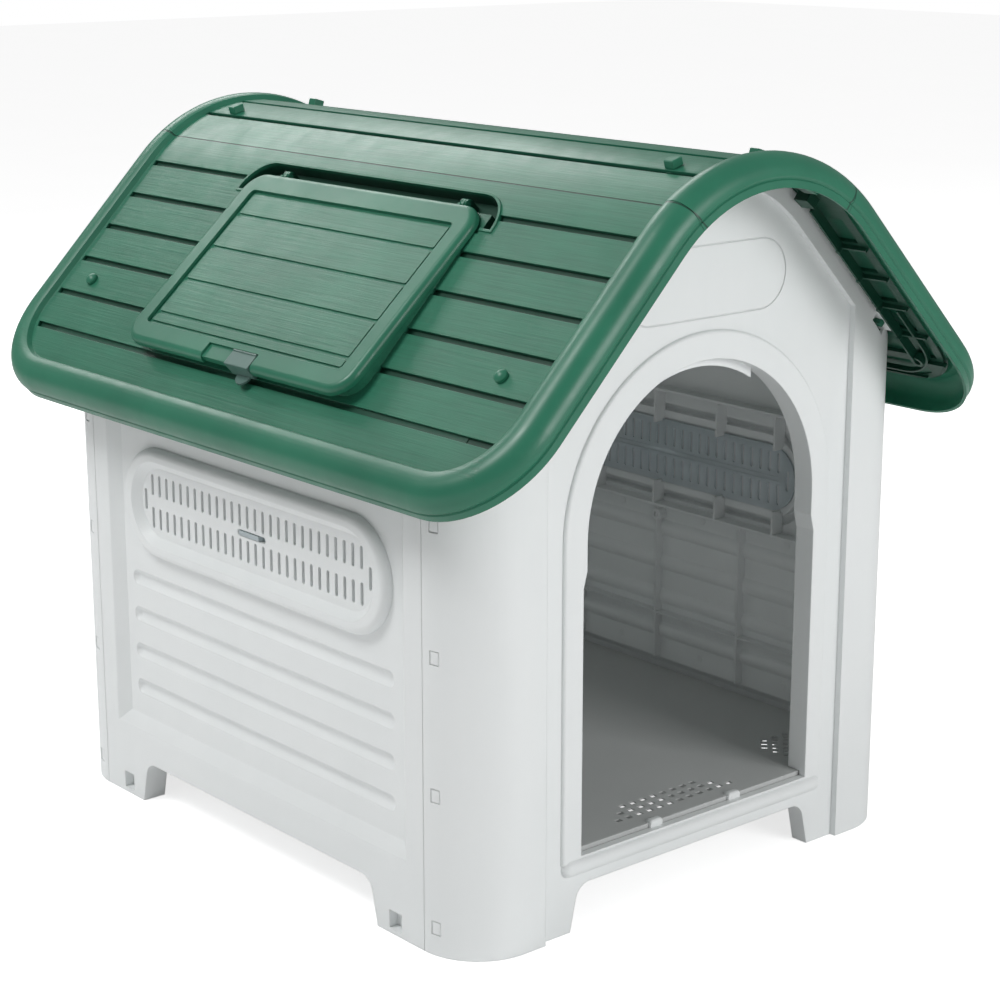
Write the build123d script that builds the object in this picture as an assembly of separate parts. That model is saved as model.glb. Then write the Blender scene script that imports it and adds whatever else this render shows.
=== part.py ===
from build123d import *
import os
from math import cos, degrees, radians, sin, sqrt

# A moulded-plastic animal house that comes apart into flat panels: four walls, a floor tray, two roof
# slopes, a ridge cap, a lifting roof hatch and two sliding ventilation shutters.
# Frame: +Z up, origin on the ground at the centre, doorway gable towards -Y, ridge along Y.

os.makedirs("parts", exist_ok=True)

# ---------------------------------------------------------------- driving dimensions (mm, degrees)
body_width = 610.0          # over the side walls, X
body_length = 714.0         # over the gable corner columns, Y
wall_height = 513.0         # side wall, ground to the underside of the roof skin
skin = 4.0                  # moulded wall thickness
corner_radius = 68.0        # rounded corner columns of the gable walls
seam_gap = 0.5              # between neighbouring mouldings of the shell

roof_slope = 45.5           # from horizontal
arch_radius = 189.0         # underside of the roof skin over the ridge
gable_overhang = 84.0       # roof rim beyond the gable face
eave_overhang = 73.0        # roof rim beyond the side wall, down the slope
roof_gap = 0.5              # between wall tops and roof skin
cap_half_angle = 34.8       # the ridge cap covers this much each side of the ridge
joint_gap = 0.5             # between the ridge cap and a roof slope

roof_skin = 2.8             # roof sheet
plank_rise = 4.2            # planks stand this far above the grooves
groove_width = 7.0
plank_pitch = 46.8
first_plank = 43.0          # next to the ridge cap
last_plank = 20.0           # narrowest that the plank by the eave may be
cap_groove_angles = (5.5, 20.0)

rim_width = 36.5            # bull-nosed rim round the roof, outside the planks
rim_radius = 21.2           # bull nose
rim_crest = 14.4            # above the underside of the skin
rim_drop = 18.0             # lip below the underside of the skin
rim_wall = 3.2
field_corner_radius = 68.0  # rounded corners of the plank field at the eaves

gable_step = 7.0            # flat middle of a gable lies this far behind its columns
column_inner = 209.0        # half width of that flat middle
gable_band = 21.0           # raised band under the roof edge

arch_leg_height = 48.0      # clear height under the walls, between the feet
side_foot_inner = 204.0     # half length of the clear span under a side wall
gable_foot_inner = 160.0    # half width of the clear span under a gable wall
foot_draft = 12.0           # the inner faces of the feet lean out by this
foot_depth = 27.0           # depth of the feet and of the base flange, inwards

door_half_width = 156.0
jamb_half_width = 160.5     # the lower part of the doorway is a little wider
jamb_top = 368.0            # the doorway widens from here
jamb_low = 351.0            # down to here
door_spring = 395.0         # centre of the round top
door_sill = 79.5
door_band = 28.0            # raised border round the doorway
door_band_rise = 4.0
door_return = 16.0          # lining behind the doorway edge

recess_depth = 10.0         # sunk panel of the side walls
recess_margin = 27.0        # from the seam
recess_bottom = 84.0
recess_top = 480.0
recess_bevel = 14.0
wall_groove_radius = 9.7
wall_groove_depth = 5.0
wall_groove_half_length = 225.0
wall_groove_first = 131.0
wall_groove_pitch = 42.3
wall_groove_count = 4

vent_centre = 352.3
vent_half_length = 233.0    # over the raised ring
vent_half_height = 60.5
vent_round = 8.0            # outer edge of the ring
vent_slope = 9.0            # the inner edge of the ring slopes in by this
vent_plate_inset = 9.0      # grille face behind the ring crest
grille_half_length = 207.0
grille_half_height = 38.5
grille_thickness = 4.0
slot_count = 28
slot_pitch = 13.77
slot_width = 4.4
slot_height = 23.6
slot_row_offset = 18.4      # row centre above and below the vent centre
tab_slot_half_length = 25.0
tab_slot_height = 6.5

shutter_thickness = 2.6
shutter_clearance = 0.5
shutter_travel = 7.0
shutter_half_height = 37.5
shutter_half_length = 211.0

rib_thickness = 3.0
rib_depth = 16.0
vent_rib_offsets = (-190.0, -100.0, 0.0, 100.0, 190.0)
vent_shelf_low = 289.0      # shelves inside, under and over the vent
vent_shelf_high = 428.0
lower_rib_offset = 134.0    # upright ribs inside, beside the middle one
lower_rib_depth = 10.0
lower_rib_height = 154.0    # thin level rib

foot_window = 19.0          # square pocket in each foot of a side wall
foot_window_outset = 40.0   # past the clear span
foot_window_height = 15.0
foot_window_depth = 10.0

snap_heights = (28.3, 163.5, 300.5, 428.7)
snap_offset = 15.5          # centre of a snap window past the seam
snap_window = (10.5, 14.0)
snap_bump = (9.3, 12.8)

tray_top = 84.0
tray_skin = 3.5
tray_clearance = 1.5
tray_side_gap = 11.5        # the sunk side panels reach in this far, with clearance
tray_corner = 42.0
tray_rim = 14.0
drain_size = 7.0
drain_pitch = 14.4
corner_drain_pitch = 11.0
corner_drain_inset = 102.5  # from the side of the tray
corner_drain_end = 82.5     # from its end
door_drain_inset = 24.0
drain_skin = 1.3            # the tray is thinner round its drain holes

hatch_length = 239.5        # down the slope
hatch_width = 386.0
hatch_height = 10.0         # rim of the lid
hatch_wall = 3.0
hatch_tilt = 3.5            # the lid is this much flatter than the slope
hatch_start = 1.5           # upper edge, from where the slope leaves the ridge arch
hatch_lift = 6.15           # lower edge of the lid rim above the underside of the roof skin, at its top
hatch_rest_gap = 0.4
hatch_corner = 28.0
hatch_rim = 23.0            # rim round the sunk middle of the lid, at its sides
hatch_end_rim = 26.0        # and at its ends
hatch_sink = 4.0
coaming_inset = 3.0
coaming_latch_inset = 11.0  # the coaming stands back here, to leave room for the latch
opening_inset = 24.0
trough_margin = 19.0        # past each side of the lid
trough_start = 17.0         # above the start of the slope
trough_end = 22.0
trough_floor = -9.0
trough_corner = 38.0
collar_height = 1.5

hinge_inset = 44.0          # from each side of the lid
hinge_pin_diameter = 4.0
hinge_axis_t = -6.0
hinge_axis_w = 3.0
knuckle_radius = 5.0
knuckle_width = 4.0
ear_width = 2.2
running_clearance = 0.06
side_clearance = 0.5

latch_width = 40.0
latch_travel = 36.0
latch_recess_half = 43.0
latch_recess_depth = 2.6
latch_skin = 2.4

stop_angle = 26.0           # blocks under the ridge cap that the gable tops butt against
lock_angle = 16.5           # ridge turn-locks, from the ridge
lock_outset = 1.5           # beyond the gable face, along the ridge
lock_shaft_radius = 4.0
lock_head = (14.0, 12.0, 8.0)
lock_bar = (7.0, 15.0, 5.0)
eave_lock_t = 172.0         # down the slope
eave_lock_inset = 5.0       # behind the gable face
eave_lock_head_radius = 7.0
lock_tab_half = 16.0
lock_notch_half = 12.5
lock_tab_thickness = 3.8
lock_tab_top = 1.4          # below the underside of the roof skin

# ---------------------------------------------------------------- derived geometry
half_width = body_width / 2
half_length = body_length / 2
seam_y = half_length - corner_radius
trough_half_width = hatch_width / 2 + trough_margin
hinge_offset = hatch_width / 2 - hinge_inset
lock_offset = half_length + lock_outset
eave_lock_offset = half_length - eave_lock_inset
recess_half_length = seam_y - recess_margin
foot_window_offset = side_foot_inner + foot_window_outset
slope_sin = sin(radians(roof_slope))
slope_cos = cos(radians(roof_slope))
ridge_axis_z = (slope_sin * half_width + slope_cos * wall_height - arch_radius) / slope_cos
tangent_x = arch_radius * slope_sin
tangent_z = ridge_axis_z + arch_radius * slope_cos
wall_t = (half_width - tangent_x) / slope_cos
roof_half_length = half_length + gable_overhang
field_half_length = roof_half_length - rim_width
field_end = wall_t + eave_overhang - rim_width
plank_top = roof_skin + plank_rise
arc_angle = roof_slope - cap_half_angle
plank_radius = arch_radius + plank_top
arc_run = radians(arc_angle) * plank_radius
groove_count = int((field_end - last_plank - first_plank + arc_run) / plank_pitch) + 1
groove_starts = [first_plank - arc_run + i * plank_pitch for i in range(groove_count)]
slot_row_length = (slot_count - 1) * slot_pitch

# Left roof slope: x runs down the slope, y towards the doorway, z out of the roof.
slope_plane = Plane(
    origin=(-tangent_x, 0, tangent_z),
    x_dir=(-slope_cos, 0, -slope_sin),
    z_dir=(-slope_sin, 0, slope_cos),
)


# ---------------------------------------------------------------- helpers
def block(x0, x1, y0, y1, z0, z1):
    """A box between two corners."""
    return Pos((x0 + x1) / 2, (y0 + y1) / 2, (z0 + z1) / 2) * Box(x1 - x0, y1 - y0, z1 - z0)


def rounded_block(x0, x1, y0, y1, z0, z1, radius, corners="all"):
    """A box with rounded upright corners; corners may be 'all', 'high_x' or 'low_x'."""
    body = block(x0, x1, y0, y1, z0, z1)
    edges = body.edges().filter_by(Axis.Z)
    if corners == "high_x":
        edges = edges.group_by(Axis.X)[-1]
    if corners == "low_x":
        edges = edges.group_by(Axis.X)[0]
    return fillet(edges, radius)


def prism(points, plane, depth, both=False):
    """A closed outline of straight lines on a plane, pushed along the plane's normal."""
    outline = Polyline(*points, close=True)
    return extrude(plane * make_face(outline), amount=depth, both=both)


def save(name, shape, colour):
    shape.label = name
    shape.color = Color(colour)
    export_step(shape, f"parts/{name}.step")
    print(name, "solids", len(shape.solids()), "volume cm3", round(shape.volume / 1000, 1))


def mirror_x(shape):
    return mirror(shape, Plane.YZ)


def mirror_y(shape):
    return mirror(shape, Plane.XZ)


# ---------------------------------------------------------------- roof
def roof_outline(radius, floor_z, half_span):
    """Section of everything under the roof line at a distance from the ridge axis."""
    foot_x = radius * slope_sin
    foot_z = ridge_axis_z + radius * slope_cos
    edge_z = foot_z - (half_span - foot_x) * slope_sin / slope_cos
    arch = ThreePointArc((-foot_x, foot_z), (0, ridge_axis_z + radius), (foot_x, foot_z))
    sides = Polyline(
        (foot_x, foot_z), (half_span, edge_z), (half_span, floor_z), (-half_span, floor_z),
        (-half_span, edge_z), (-foot_x, foot_z),
    )
    return Plane.XZ * make_face(arch + sides)


def under_roof(radius, floor_z=-1.0, half_span=500.0):
    """Everything under the roof line, long enough for the whole house."""
    return extrude(roof_outline(radius, floor_z, half_span), amount=body_length, both=True)


def arc_slab(angle_low, angle_high, y_low, y_high, w_low, w_high):
    """A strip of the ridge arch between two angles from the top, on the left side where positive."""
    radius = arch_radius + w_low
    section = Plane.YZ * make_face(Polyline(
        (y_low, radius), (y_high, radius), (y_high, arch_radius + w_high), (y_low, arch_radius + w_high),
        close=True,
    ))
    strip = revolve(section, axis=Axis((0, 0, 0), (0, -1, 0)), revolution_arc=angle_high - angle_low)
    return Pos(0, 0, ridge_axis_z) * Rot(0, -angle_low, 0) * strip


def radial_frame(angle):
    """Frame on the underside of the ridge arch: z outwards, y along the ridge, towards the back."""
    return Pos(0, 0, ridge_axis_z) * Rot(0, -angle, 0) * Pos(0, 0, arch_radius)


def rim_section():
    """Bull-nosed rim: x outwards from the plank field, y up from the underside of the skin."""
    centre_x = rim_width - 0.3 - rim_radius
    centre_y = rim_crest - rim_radius
    inner = rim_radius - rim_wall
    diagonal = sqrt(0.5)
    crest = (centre_x, rim_crest)
    side = (centre_x + rim_radius, centre_y)
    nose = (centre_x + rim_radius * diagonal, centre_y + rim_radius * diagonal)
    inner_side = (centre_x + inner, centre_y)
    inner_nose = (centre_x + inner * diagonal, centre_y + inner * diagonal)
    inner_crest = (centre_x, centre_y + inner)
    outline = Polyline((-4, roof_skin), (-4, plank_top), (0.5, plank_top), (3.5, rim_crest - 2.0))
    outline += ThreePointArc((3.5, rim_crest - 2.0), (8.5, rim_crest - 0.4), crest)
    outline += ThreePointArc(crest, nose, side)
    outline += Polyline(
        side, (rim_width - 2.0, centre_y - 3.0), (rim_width - 0.6, centre_y - 4.2),
        (rim_width, -rim_drop), (rim_width - rim_wall, -rim_drop), inner_side,
    )
    outline += ThreePointArc(inner_side, inner_nose, inner_crest)
    outline += Polyline(inner_crest, (6.5, rim_crest - 5.0), (3.5, roof_skin), (-4, roof_skin))
    return make_face(outline)


def slope_rim():
    """Rim round three sides of a slope, in the slope frame, with its short run up the ridge arch."""
    section = rim_section()
    straight = field_end - field_corner_radius
    straight_y = field_half_length - field_corner_radius
    start = Plane(origin=(0, field_half_length, 0), x_dir=(0, 1, 0), z_dir=(1, 0, 0))
    turn = Plane(origin=(straight, field_half_length, 0), x_dir=(0, 1, 0), z_dir=(1, 0, 0))
    eave = Plane(origin=(field_end, straight_y, 0), x_dir=(1, 0, 0), z_dir=(0, -1, 0))
    gable_leg = extrude(start * section, amount=straight)
    corner_axis = Axis((straight, straight_y, 0), (0, 0, -1))
    corner = revolve(turn * section, axis=corner_axis, revolution_arc=90)
    arch_axis = Axis((0, 0, -arch_radius), (0, -1, 0))
    arch_leg = revolve(start * section, axis=arch_axis, revolution_arc=arc_angle)
    side = gable_leg + corner + arch_leg
    eave_leg = extrude(eave * section, amount=2 * straight_y)
    return side + eave_leg + mirror_y(side)


def hatch_frame():
    """Frame of the lid's lower face: x down the lid, y towards the doorway, z out of the lid."""
    return Pos(hatch_start, 0, hatch_lift) * Rot(0, -hatch_tilt, 0)


def lock_hole(radius, w_low, w_high):
    return Pos(0, 0, (w_low + w_high) / 2) * Cylinder(radius, w_high - w_low)


def roof_slope_panel(with_hatch):
    """Left roof slope, built in the slope frame."""
    sheet = rounded_block(0, field_end, -field_half_length, field_half_length, 0, plank_top,
                          field_corner_radius, "high_x")
    arc_section = Plane.YZ * make_face(Polyline(
        (-field_half_length, 0), (field_half_length, 0), (field_half_length, plank_top),
        (-field_half_length, plank_top), close=True,
    ))
    arch_axis = Axis((0, 0, -arch_radius), (0, -1, 0))
    sheet += revolve(arc_section, axis=arch_axis, revolution_arc=arc_angle)
    for start in groove_starts:
        sheet -= block(start - groove_width / 2, start + groove_width / 2,
                       -field_half_length, field_half_length, roof_skin, plank_top + 1)
    pocket_ends = groove_starts + [field_end + 2.0]
    for low, high in zip(pocket_ends, pocket_ends[1:]):
        inset = 12.0 if high < field_end else 34.0
        sheet -= block(low + 5.5, high - 5.5, -field_half_length + inset, field_half_length - inset,
                       -1, plank_rise)
    # full thickness where the sheet crosses the side wall
    sheet += block(wall_t - 7.9, wall_t + 2.9, -half_length, half_length, 0, plank_rise - 0.5)
    panel = sheet + slope_rim()

    # locating rib just outside each gable wall, with a round nub at every plank joint
    rib_y = half_length + 12.0
    rib_end = wall_t - 10.0
    for sign in (-1, 1):
        panel += block(-8, rib_end, sign * rib_y - 1.3, sign * rib_y + 1.3, -10, 0.5)
        for start in groove_starts[1:]:
            if start < rib_end:
                panel += Pos(start, sign * rib_y, -5) * Cylinder(2.6, 11)
            outer = sorted((sign * rib_y, sign * (field_half_length - 2)))
            panel += block(start - 1.3, start + 1.3, outer[0], outer[1], -5, 0.5)

    # rib that follows each eave corner in the overhang, with a boss beside it
    corner_t = field_end - field_corner_radius
    corner_y = field_half_length - field_corner_radius
    rib_radius = field_corner_radius - 17.0
    for sign in (-1, 1):
        ring = Pos(corner_t, sign * corner_y, -2) * (Cylinder(rib_radius + 1.3, 6)
                                                     - Cylinder(rib_radius - 1.3, 8))
        low, high = sorted((sign * corner_y, sign * (corner_y + 90)))
        panel += ring & block(corner_t, corner_t + 90, low, high, -8, 4)
        low, high = sorted((sign * (corner_y + rib_radius - 1.3), sign * (corner_y + rib_radius + 1.3)))
        panel += block(corner_t - 60, corner_t, low, high, -5, 1)
        low, high = sorted((sign * (corner_y - 70), sign * corner_y))
        panel += block(corner_t + rib_radius - 1.3, corner_t + rib_radius + 1.3, low, high, -5, 1)
        boss = Cylinder(7.5, 9) - Pos(0, 0, -2) * Cylinder(4.0, 9)
        panel += Pos(wall_t - 8.0, sign * (half_length + 14.0), -4) * boss

    # tongue that reaches under the ridge cap, and a hook block at each end of it
    tongue_y = seam_y + 30.0
    turn = Rot(0, roof_slope, 0)
    to_slope = Pos(0, 0, -arch_radius)
    joint = cap_half_angle - roof_slope
    for low, high, w_high in ((joint - 6.0, joint + 1.0, -0.3), (joint, joint + 4.0, 0.5)):
        section = Plane.YZ * make_face(Polyline(
            (-tongue_y, -3.2), (tongue_y, -3.2), (tongue_y, w_high), (-tongue_y, w_high), close=True,
        ))
        strip = revolve(section, axis=arch_axis, revolution_arc=high - low)
        panel += to_slope * Rot(0, high, 0) * Pos(0, 0, arch_radius) * strip
    for sign in (-1, 1):
        hook = Pos(0, sign * (rib_y + 4.0), -5.5) * Box(15, 17, 12)
        panel += to_slope * Rot(0, joint + 3.0, 0) * Pos(0, 0, arch_radius) * hook

    for sign in (-1, 1):
        panel -= Pos(eave_lock_t, sign * eave_lock_offset, 0) * lock_hole(
            lock_shaft_radius + running_clearance, -12, plank_top + 2)
        panel += Pos(eave_lock_t, sign * eave_lock_offset, plank_rise / 2) * (
            Cylinder(9, plank_rise) - Cylinder(lock_shaft_radius + running_clearance, plank_rise + 2))

    if with_hatch:
        panel = add_hatch_seat(panel)
    return slope_plane.location * panel


def hatch_solid(inset, low, high, radius, latch_inset=None):
    """A slab parallel to the lid, set in from its outline."""
    end = hatch_length - (inset if latch_inset is None else latch_inset)
    half = hatch_width / 2 - inset
    return hatch_frame() * rounded_block(inset, end, -half, half, low, high, radius)


def add_hatch_seat(panel):
    """Coaming, opening, hinge trough and hinge ears, in the slope frame."""
    over = 60.0
    gap = hatch_rest_gap
    outline = coaming_inset
    coaming = hatch_solid(outline, -over, -gap, hatch_corner - outline, coaming_latch_inset)
    coaming = coaming & block(0, field_end, -300, 300, roof_skin, over)
    inner = outline + skin
    cavity = hatch_solid(inner, -over, -gap - skin, hatch_corner - inner, coaming_latch_inset + skin)
    cavity = cavity & block(0, field_end, -300, 300, -1, over)
    opening = hatch_solid(opening_inset, -over, over, 12, opening_inset)

    def trough_body(grow, w_low, w_high):
        half = trough_half_width + grow
        return rounded_block(-trough_start - grow, trough_end + grow, -half, half, w_low, w_high,
                             trough_corner + grow - 0.01, "low_x")

    pan = trough_body(skin - 1, trough_floor - 3, plank_top + collar_height)
    side_inner = hatch_width / 2 + 4.0
    hollow = trough_body(0, trough_floor, over)
    hollow -= block(hatch_start + 2.0, over, -side_inner, side_inner, -over, 2 * over)
    below_lid = block(hatch_start, trough_end + 6, -side_inner, side_inner,
                      hatch_lift - 1.2, over)
    panel += pan
    panel += coaming
    panel -= hollow
    panel -= below_lid
    panel -= cavity & block(trough_end + 4, field_end, -300, 300, -1, over)
    panel -= opening & block(trough_end + 4, field_end, -300, 300, -over, over)

    for sign in (-1, 1):
        for side in (-1, 1):
            inner_face = knuckle_width / 2 + side_clearance
            y_mid = sign * hinge_offset + side * (inner_face + ear_width / 2)
            ear = block(hinge_axis_t - 5, hinge_axis_t + 5, y_mid - ear_width / 2, y_mid + ear_width / 2,
                        trough_floor - 1, hinge_axis_w)
            ear += Pos(hinge_axis_t, y_mid, hinge_axis_w) * Rot(90, 0, 0) * Cylinder(5, ear_width)
            panel += ear
        panel -= hinge_bore(sign, 30.0)

    # catch ledge under the latch, beside its open place
    catch_u = hatch_length - coaming_latch_inset
    catch = block(catch_u - 2, catch_u + 5.0, -latch_recess_half + 2, -6, -3.2, -0.8)
    panel += hatch_frame() * catch
    return panel


def hinge_bore(sign, length):
    bore = Rot(90, 0, 0) * Cylinder(hinge_pin_diameter / 2, length)
    return Pos(hinge_axis_t, sign * hinge_offset, hinge_axis_w) * bore


def hinge_pin(sign):
    length = knuckle_width + 2 * side_clearance + 2 * ear_width
    return slope_plane.location * hinge_bore(sign, length)


def hatch_lid():
    """Shallow tray lid with a raised rim, planks in its sunk middle and two hinge arms."""
    outer = rounded_block(0, hatch_length, -hatch_width / 2, hatch_width / 2, 0, hatch_height,
                          hatch_corner)
    outer = fillet(outer.edges().group_by(Axis.Z)[-1], 7.0)
    hollow = rounded_block(hatch_wall, hatch_length - hatch_wall, -hatch_width / 2 + hatch_wall,
                           hatch_width / 2 - hatch_wall, -1, hatch_height - hatch_wall,
                           hatch_corner - hatch_wall)
    hollow = fillet(hollow.edges().group_by(Axis.Z)[-1], 5.0)
    rim_half = hatch_width / 2 - hatch_rim
    pan = rounded_block(hatch_end_rim - 3, hatch_length - hatch_end_rim + 4, -rim_half - 3, rim_half + 3,
                        hatch_height - hatch_sink - hatch_wall, hatch_height - hatch_wall, 8)
    sink = rounded_block(hatch_end_rim, hatch_length - hatch_end_rim + 1, -rim_half, rim_half,
                         hatch_height - hatch_sink, hatch_height + 5, 6)
    lid = outer - (hollow - pan) - sink

    # four full planks and a narrow strip, raised in the sunk middle
    plank_half = rim_half - 5.0
    widths = (27.0, 42.0, 42.0, 42.0, 9.0)
    spare = hatch_length - 2 * hatch_end_rim + 1 - sum(widths)
    space = spare / (len(widths) + 1)
    start = hatch_end_rim + space
    for width in widths:
        lid += rounded_block(start, start + width, -plank_half, plank_half,
                             hatch_height - hatch_sink - 0.5, hatch_height - hatch_sink + 1.6, 2.0)
        start += width + space

    # track for the sliding latch across the middle of the lower rim
    end = hatch_length
    half = latch_recess_half
    lid += block(end - 14, end - hatch_wall + 0.5, -half - 3, half + 3, 0, hatch_height - hatch_wall)
    lid -= block(end - 19, end + 1, -half, half, hatch_height - latch_recess_depth, hatch_height + 2)
    lid -= block(end - latch_recess_depth, end + 1, -half, half, -1, hatch_height + 2)
    placed = hatch_frame() * lid

    for sign in (-1, 1):
        arm_y = sign * hinge_offset
        arm = block(hinge_axis_t, hatch_start + 1.5, arm_y - knuckle_width / 2,
                    arm_y + knuckle_width / 2, hinge_axis_w + 1, hinge_axis_w + knuckle_radius)
        arm += Pos(hinge_axis_t, arm_y, hinge_axis_w) * Rot(90, 0, 0) * Cylinder(
            knuckle_radius, knuckle_width)
        arm += block(hatch_start - 2.5, hatch_start + 1.5, arm_y - knuckle_width / 2,
                     arm_y + knuckle_width / 2, hinge_axis_w + 1, hatch_lift + hatch_height - 5)
        placed += arm
        bore = Rot(90, 0, 0) * Cylinder(hinge_pin_diameter / 2 + running_clearance, 30)
        placed -= Pos(hinge_axis_t, arm_y, hinge_axis_w) * bore
    return slope_plane.location * placed


def hatch_latch():
    """C-shaped slider that wraps the lower rim of the lid."""
    gap = 0.3
    end = hatch_length
    top = hatch_height - latch_recess_depth + gap
    side = end - latch_recess_depth + gap
    y_high = latch_recess_half - 1.0
    y_low = y_high - latch_width
    body = block(end - 18, side + latch_skin, y_low, y_high, top, top + latch_skin)
    body += block(side, side + latch_skin, y_low, y_high, -6.6, top + latch_skin)
    body += block(end - 18, end - 16.4, y_low, y_high, top, top + latch_skin + 0.9)
    body += block(end - 9.5, side + latch_skin, y_low, y_high, -6.6, -3.8)
    scoop = Pos(side + 1.6, (y_low + y_high) / 2, -6.6) * Cylinder(11, 2.4)
    body += scoop & block(side, end + 30, y_low, y_high, -20, 20)
    return slope_plane.location * (hatch_frame() * body)


def ridge_cap():
    edge = cap_half_angle - degrees(joint_gap / arch_radius)
    cap = arc_slab(-edge, edge, -field_half_length, field_half_length, 0, plank_top)
    section = Plane(origin=(0, field_half_length, arch_radius), x_dir=(0, 1, 0), z_dir=(1, 0, 0))
    rim = revolve(section * rim_section(), axis=Axis((0, 0, 0), (0, -1, 0)), revolution_arc=2 * edge)
    rim = Pos(0, 0, ridge_axis_z) * Rot(0, edge, 0) * rim
    cap += rim
    cap += mirror_y(rim)
    for angle in cap_groove_angles:
        for sign in (-1, 1):
            cut = block(-groove_width / 2, groove_width / 2, -field_half_length + 0.01,
                        field_half_length - 0.01, roof_skin, plank_top + 3)
            cap -= radial_frame(sign * angle) * cut
    pocket_y = field_half_length - 12.0
    half_groove = degrees(5.5 / plank_radius)
    stops = sorted([-32.0, 32.0] + [s * a for a in cap_groove_angles for s in (-1, 1)])
    for low, high in zip(stops, stops[1:]):
        cap -= arc_slab(low + half_groove, high - half_groove, -pocket_y, pocket_y, -1, plank_rise)
    rib_y = half_length + 12.0
    for sign in (-1, 1):
        low, high = sorted((sign * rib_y - 1.3, sign * rib_y + 1.3))
        cap += arc_slab(-28, 28, low, high, -8, 0.5)
    for side in (-1, 1):
        for end in (-1, 1):
            stop = radial_frame(side * stop_angle) * Pos(0, end * (field_half_length - 2), -5.5)
            cap += stop * Box(18, 17, 13)
            place = radial_frame(side * lock_angle) * Pos(0, end * lock_offset, 0)
            cap += place * Pos(0, 0, plank_rise / 2) * Cylinder(9, plank_rise)
            cap -= place * lock_hole(lock_shaft_radius + running_clearance, -12, plank_top + 3)
    return cap


def turn_lock(head):
    """Quarter-turn peg: head above the planks, shaft through the skin, cross bar under the tab."""
    tab_under = -lock_tab_top - lock_tab_thickness - 0.3
    bar_x, bar_y, bar_z = lock_bar
    top = plank_top + 0.4
    shaft = Pos(0, 0, (tab_under + top) / 2) * Cylinder(lock_shaft_radius, top - tab_under + 0.8)
    bar = Pos(0, 0, tab_under - bar_z / 2) * Box(bar_x, bar_y, bar_z)
    bar = fillet(bar.edges().filter_by(Axis.Z), 2.0)
    return shaft + bar + Pos(0, 0, top) * head


def ridge_head():
    x, y, z = lock_head
    head = Pos(0, 0, z / 2) * Box(x, y, z)
    head = fillet(head.edges().filter_by(Axis.Z), 1.2)
    return chamfer(head.edges().group_by(Axis.Z)[-1], 0.8)


def eave_head():
    base = Pos(0, 0, 1.5) * Cylinder(eave_lock_head_radius, 3.0)
    dome_rise = 3.5
    sphere_radius = (eave_lock_head_radius ** 2 + dome_rise ** 2) / (2 * dome_rise)
    dome = Pos(0, 0, 3.0 + dome_rise - sphere_radius) * Sphere(sphere_radius)
    return base + (dome & Pos(0, 0, 3.0 + dome_rise / 2 - 0.01) * Cylinder(20, dome_rise + 0.02))


# ---------------------------------------------------------------- walls
def plan_shell(half_x, half_y, radius, seam, height):
    """Solid of the gable end in plan: flat front, rounded corners, open at the seam line."""
    diagonal = sqrt(0.5)
    flat = half_x - radius
    centre_y = -half_y + radius
    outline = Line((-flat, -half_y), (flat, -half_y))
    outline += ThreePointArc((flat, -half_y), (flat + radius * diagonal, centre_y - radius * diagonal),
                             (half_x, centre_y))
    outline += Polyline((half_x, centre_y), (half_x, seam), (-half_x, seam), (-half_x, centre_y))
    outline += ThreePointArc((-half_x, centre_y), (-flat - radius * diagonal,
                             centre_y - radius * diagonal), (-flat, -half_y))
    return extrude(make_face(outline), amount=height)


def foot_gap(half_span, low, high, grow=0.0):
    """The clear space under a wall between two feet, across X, pushed through along Y."""
    draft = foot_draft
    top = arch_leg_height + grow
    half = half_span + grow
    gap = prism([(-half - draft, -5), (-half, top), (half, top), (half + draft, -5)],
                Plane.XZ, body_length + body_width, both=True)
    gap = fillet(gap.edges().filter_by(Axis.Y).group_by(Axis.Z)[-1], 18.0 + grow)
    return gap & block(-half - 60, half + 60, low, high, -6, top + 1)


def gable_lock_seats(wall):
    """Notches and drilled tabs in the wall top for the turn-lock pegs, at the -Y gable."""
    tab_top = -lock_tab_top
    places = [radial_frame(side * lock_angle) * Pos(0, -lock_offset, 0) for side in (-1, 1)]
    slope_left = slope_plane.location * Pos(eave_lock_t, eave_lock_offset, 0)
    deep = half_length + 9.0
    inner = half_length - gable_step - skin
    for place in places:
        notch = block(-lock_notch_half, lock_notch_half, -16, 16, -14, 2)
        tab = block(-lock_tab_half, lock_tab_half, lock_offset - deep + 2, lock_offset - inner + 2,
                    tab_top - lock_tab_thickness, tab_top)
        wall -= place * notch
        wall += place * tab
        wall -= place * lock_hole(lock_shaft_radius + running_clearance, -30, 5)
    for flip in (False, True):
        notch = block(-lock_notch_half, lock_notch_half, -16, 16, -14, 2)
        tab = block(-lock_tab_half, lock_tab_half, inner - eave_lock_offset - 2,
                    deep - eave_lock_offset - 2, tab_top - lock_tab_thickness, tab_top)
        hole = lock_hole(lock_shaft_radius + running_clearance, -30, 5)
        parts = [slope_left * shape for shape in (notch, tab, hole)]
        if flip:
            parts = [mirror_x(shape) for shape in parts]
        wall -= parts[0]
        wall += parts[1]
        wall -= parts[2]
    return wall


def snap_windows(wall, heights):
    """Square windows in the corner columns that the side-wall hooks click into."""
    for height in heights:
        for side in (-1, 1):
            window = Pos(side * half_width, -seam_y - snap_offset, height) * Box(6 * skin, *snap_window)
            wall -= window
    return wall


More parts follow.
